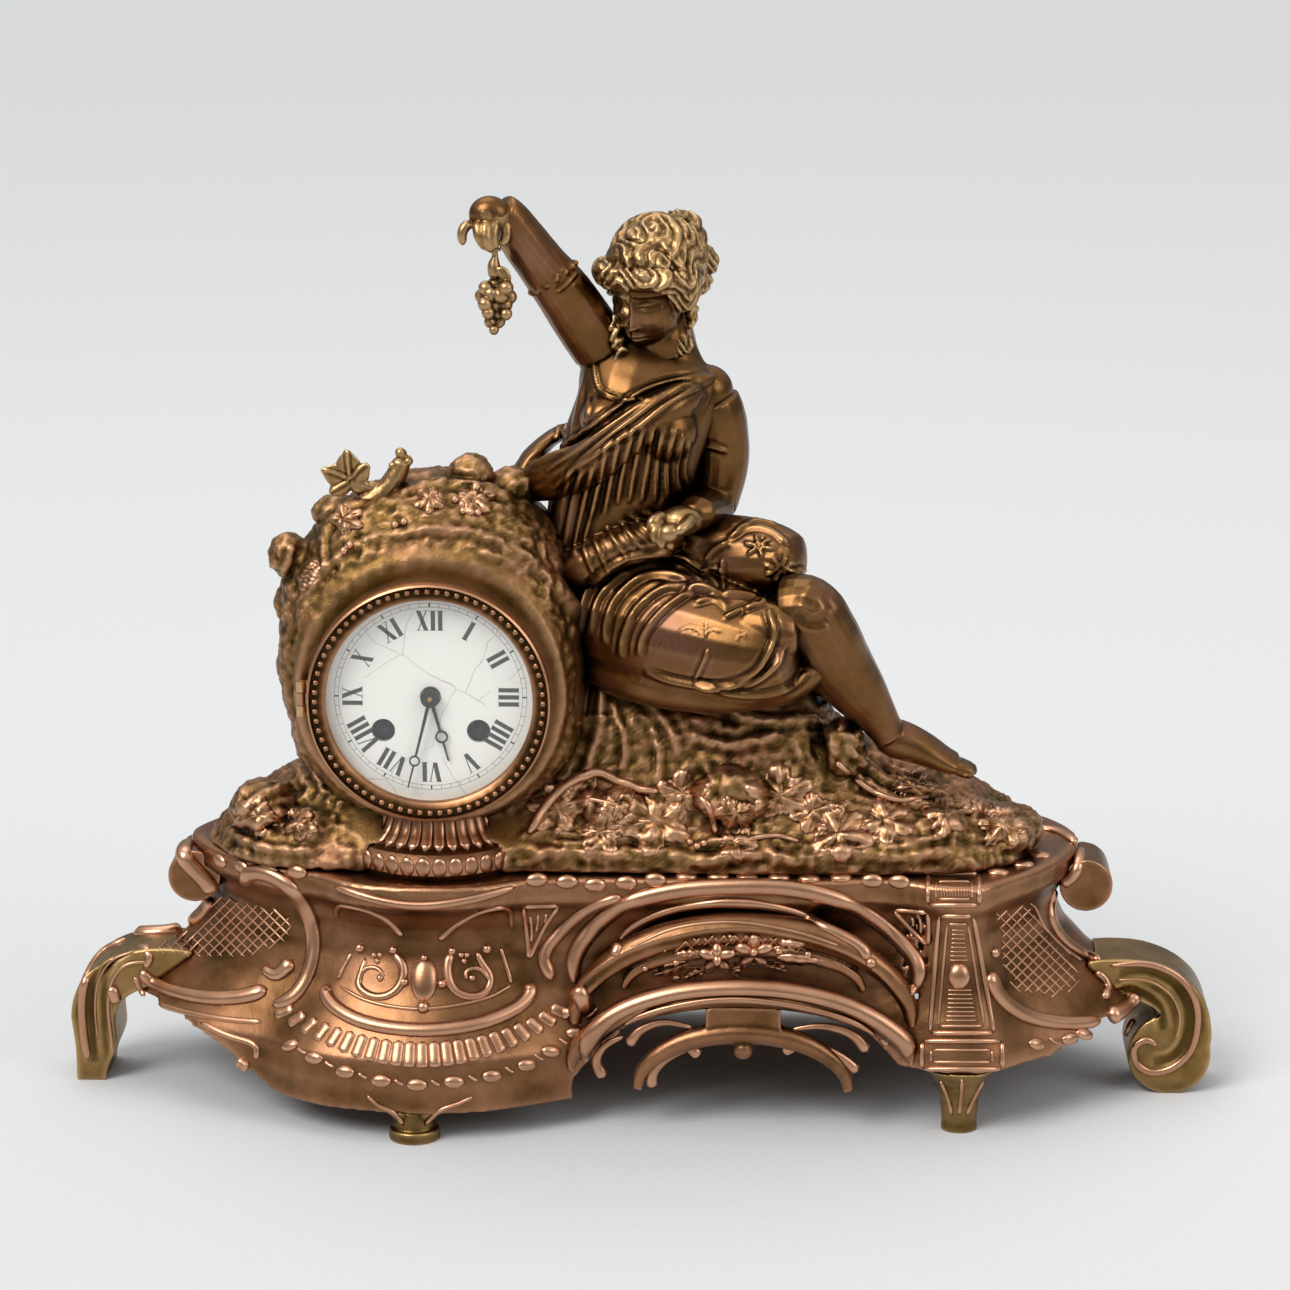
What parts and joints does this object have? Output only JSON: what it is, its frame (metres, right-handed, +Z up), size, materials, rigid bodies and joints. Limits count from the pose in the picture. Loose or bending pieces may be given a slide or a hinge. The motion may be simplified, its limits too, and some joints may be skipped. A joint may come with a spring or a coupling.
{
  "type": "figural mantel clock",
  "caption": "Mantel clock in patinated cast metal: a seated classical figure with grapes beside a drum movement, on a scrolled plinth.",
  "frame": {"origin": "on the table, under the middle of the plinth's length and depth", "axes": "+X to the right of the dial, +Y to the back, +Z up"},
  "size_m": [0.4737, 0.1696, 0.3772],
  "materials": {
    "bronzed_casting": "patinated, copper and olive brown",
    "figure_bronze": "smooth dark brown patina",
    "gilt_brass": "worn gilt",
    "movement_brass": "brushed",
    "steel": "polished",
    "blackened_steel": "blackened",
    "enamel": "white vitreous enamel with black numerals",
    "glass": "clear"
  },
  "bodies": {
    "case": {"plinth": "bronzed_casting", "left_scroll_foot": "bronzed_casting", "right_scroll_foot": "bronzed_casting", "front_bracket_foot": "bronzed_casting", "pilaster_foot": "bronzed_casting", "panel_scrolls": "bronzed_casting", "front_apron": "bronzed_casting", "cornice_volutes": "bronzed_casting", "fluted_socle": "bronzed_casting", "mound": "bronzed_casting", "mound_studs": "steel", "vine_sprig": "bronzed_casting", "draped_body": "figure_bronze", "head": "figure_bronze", "raised_arm": "figure_bronze", "resting_arm": "figure_bronze", "bare_leg": "figure_bronze", "tucked_leg": "figure_bronze", "grape_bunch": "figure_bronze", "front_plate": "movement_brass", "back_plate": "movement_brass", "plate_pillars": "movement_brass", "click_screws": "steel", "suspension_cock": "movement_brass", "bell": "steel", "bell_stand": "steel", "bell_nut": "movement_brass", "front_seat_ring": "gilt_brass", "hinge_pins": "steel", "enamel_dial": "enamel", "dial_plate": "movement_brass", "rear_ring": "gilt_brass", "case_straps": "steel", "strap_screws": "steel"},
    "front_door": {"beaded_bezel": "gilt_brass", "bezel_glass": "glass"},
    "back_door": {"rear_door": "gilt_brass"},
    "minute": {"minute_hand": "blackened_steel", "cannon_pinion": "movement_brass", "hand_collet": "movement_brass"},
    "hour": {"hour_hand": "blackened_steel", "hour_wheel": "movement_brass"},
    "minute_gear": {"minute_wheel": "movement_brass"},
    "going_drum": {"going_barrel": "movement_brass"},
    "second": {"second_wheel": "movement_brass"},
    "centre": {"centre_wheel": "movement_brass"},
    "third": {"third_wheel": "movement_brass"},
    "escape": {"escape_wheel": "movement_brass"},
    "going_winder": {"going_winding_arbor": "steel"},
    "strike_winder": {"strike_winding_arbor": "steel"},
    "going_pawl": {"going_click": "steel"},
    "strike_pawl": {"strike_click": "steel"},
    "strike_drum": {"strike_barrel": "movement_brass"},
    "pin": {"pin_wheel": "movement_brass"},
    "locking": {"locking_wheel": "movement_brass"},
    "fan": {"fly": "movement_brass"},
    "pallets": {"pallets_and_crutch": "steel"},
    "pendulum": {"pendulum_rod": "movement_brass", "pendulum_bob": "movement_brass"},
    "striker": {"hammer": "steel"}
  },
  "joints": [
    {"name": "front_door_hinge", "type": "hinge", "parent": "case", "child": "front_door", "pos_m": [-0.1319, -0.06095, 0.179], "axis": [0, 0, 1], "range_deg": [-115, 0]},
    {"name": "back_door_hinge", "type": "hinge", "parent": "case", "child": "back_door", "pos_m": [-0.0289, 0.04395, 0.179], "axis": [0, 0, 1], "range_deg": [-115, 0]},
    {"name": "minute_turn", "type": "hinge", "parent": "case", "child": "minute", "pos_m": [-0.081, -0.0566, 0.179], "axis": [0, 1, 0], "continuous": true},
    {"name": "hour_turn", "type": "hinge", "parent": "case", "child": "hour", "pos_m": [-0.081, -0.0566, 0.179], "axis": [0, 1, 0], "continuous": true},
    {"name": "minute_gear_turn", "type": "hinge", "parent": "case", "child": "minute_gear", "pos_m": [-0.08852, -0.047, 0.18174], "axis": [0, 1, 0], "continuous": true},
    {"name": "third_turn", "type": "hinge", "parent": "case", "child": "third", "pos_m": [-0.08893, -0.011, 0.19011], "axis": [0, 1, 0], "continuous": true},
    {"name": "centre_turn", "type": "hinge", "parent": "case", "child": "centre", "pos_m": [-0.081, -0.011, 0.179], "axis": [0, 1, 0], "continuous": true},
    {"name": "second_turn", "type": "hinge", "parent": "case", "child": "second", "pos_m": [-0.06834, -0.011, 0.18464], "axis": [0, 1, 0], "continuous": true},
    {"name": "going_drum_turn", "type": "hinge", "parent": "case", "child": "going_drum", "pos_m": [-0.062, -0.011, 0.165], "axis": [0, 1, 0], "continuous": true},
    {"name": "escape_turn", "type": "hinge", "parent": "case", "child": "escape", "pos_m": [-0.081, -0.011, 0.1995], "axis": [0, 1, 0], "continuous": true},
    {"name": "going_winding", "type": "hinge", "parent": "case", "child": "going_winder", "pos_m": [-0.062, -0.047, 0.165], "axis": [0, 1, 0], "continuous": true},
    {"name": "strike_winding", "type": "hinge", "parent": "case", "child": "strike_winder", "pos_m": [-0.1, -0.047, 0.165], "axis": [0, 1, 0], "continuous": true},
    {"name": "going_click_lift", "type": "hinge", "parent": "case", "child": "going_pawl", "pos_m": [-0.05323, -0.047, 0.17114], "axis": [0, 1, 0], "range_deg": [0, 10], "stiffness_Nm_per_rad": 0.0002, "springref_deg": -11.46},
    {"name": "strike_click_lift", "type": "hinge", "parent": "case", "child": "strike_pawl", "pos_m": [-0.10877, -0.047, 0.17114], "axis": [0, 1, 0], "range_deg": [-10, 0], "stiffness_Nm_per_rad": 0.0002, "springref_deg": 11.46},
    {"name": "locking_turn", "type": "hinge", "parent": "case", "child": "locking", "pos_m": [-0.10129, -0.011, 0.19644], "axis": [0, 1, 0], "continuous": true},
    {"name": "pin_turn", "type": "hinge", "parent": "case", "child": "pin", "pos_m": [-0.10499, -0.011, 0.18503], "axis": [0, 1, 0], "continuous": true},
    {"name": "strike_drum_turn", "type": "hinge", "parent": "case", "child": "strike_drum", "pos_m": [-0.1, -0.011, 0.165], "axis": [0, 1, 0], "continuous": true},
    {"name": "fan_turn", "type": "hinge", "parent": "case", "child": "fan", "pos_m": [-0.10285, -0.011, 0.2053], "axis": [0, 1, 0], "continuous": true},
    {"name": "pendulum_swing", "type": "hinge", "parent": "case", "child": "pendulum", "pos_m": [-0.081, 0, 0.2105], "axis": [0, 1, 0], "range_deg": [-4, 4]},
    {"name": "pallet_rock", "type": "hinge", "parent": "case", "child": "pallets", "pos_m": [-0.081, -0.011, 0.2105], "axis": [0, 1, 0], "range_deg": [-4, 4]},
    {"name": "hammer_lift", "type": "hinge", "parent": "case", "child": "striker", "pos_m": [-0.117, -0.011, 0.188], "axis": [0, 1, 0], "range_deg": [0, 12], "stiffness_Nm_per_rad": 0.0015, "springref_deg": -22.92}
  ],
  "couplings": [
    {"joint": "minute_gear_turn", "follows": "minute_turn", "ratio": -0.33333},
    {"joint": "hour_turn", "follows": "minute_turn", "ratio": 0.083333},
    {"joint": "centre_turn", "follows": "third_turn", "ratio": -0.083333},
    {"joint": "second_turn", "follows": "third_turn", "ratio": 0.013889},
    {"joint": "going_drum_turn", "follows": "third_turn", "ratio": -0.0019841},
    {"joint": "escape_turn", "follows": "third_turn", "ratio": -12},
    {"joint": "pin_turn", "follows": "locking_turn", "ratio": -0.11111},
    {"joint": "strike_drum_turn", "follows": "locking_turn", "ratio": 0.015873},
    {"joint": "fan_turn", "follows": "locking_turn", "ratio": -8},
    {"joint": "pallet_rock", "follows": "pendulum_swing", "ratio": 1}
  ]
}
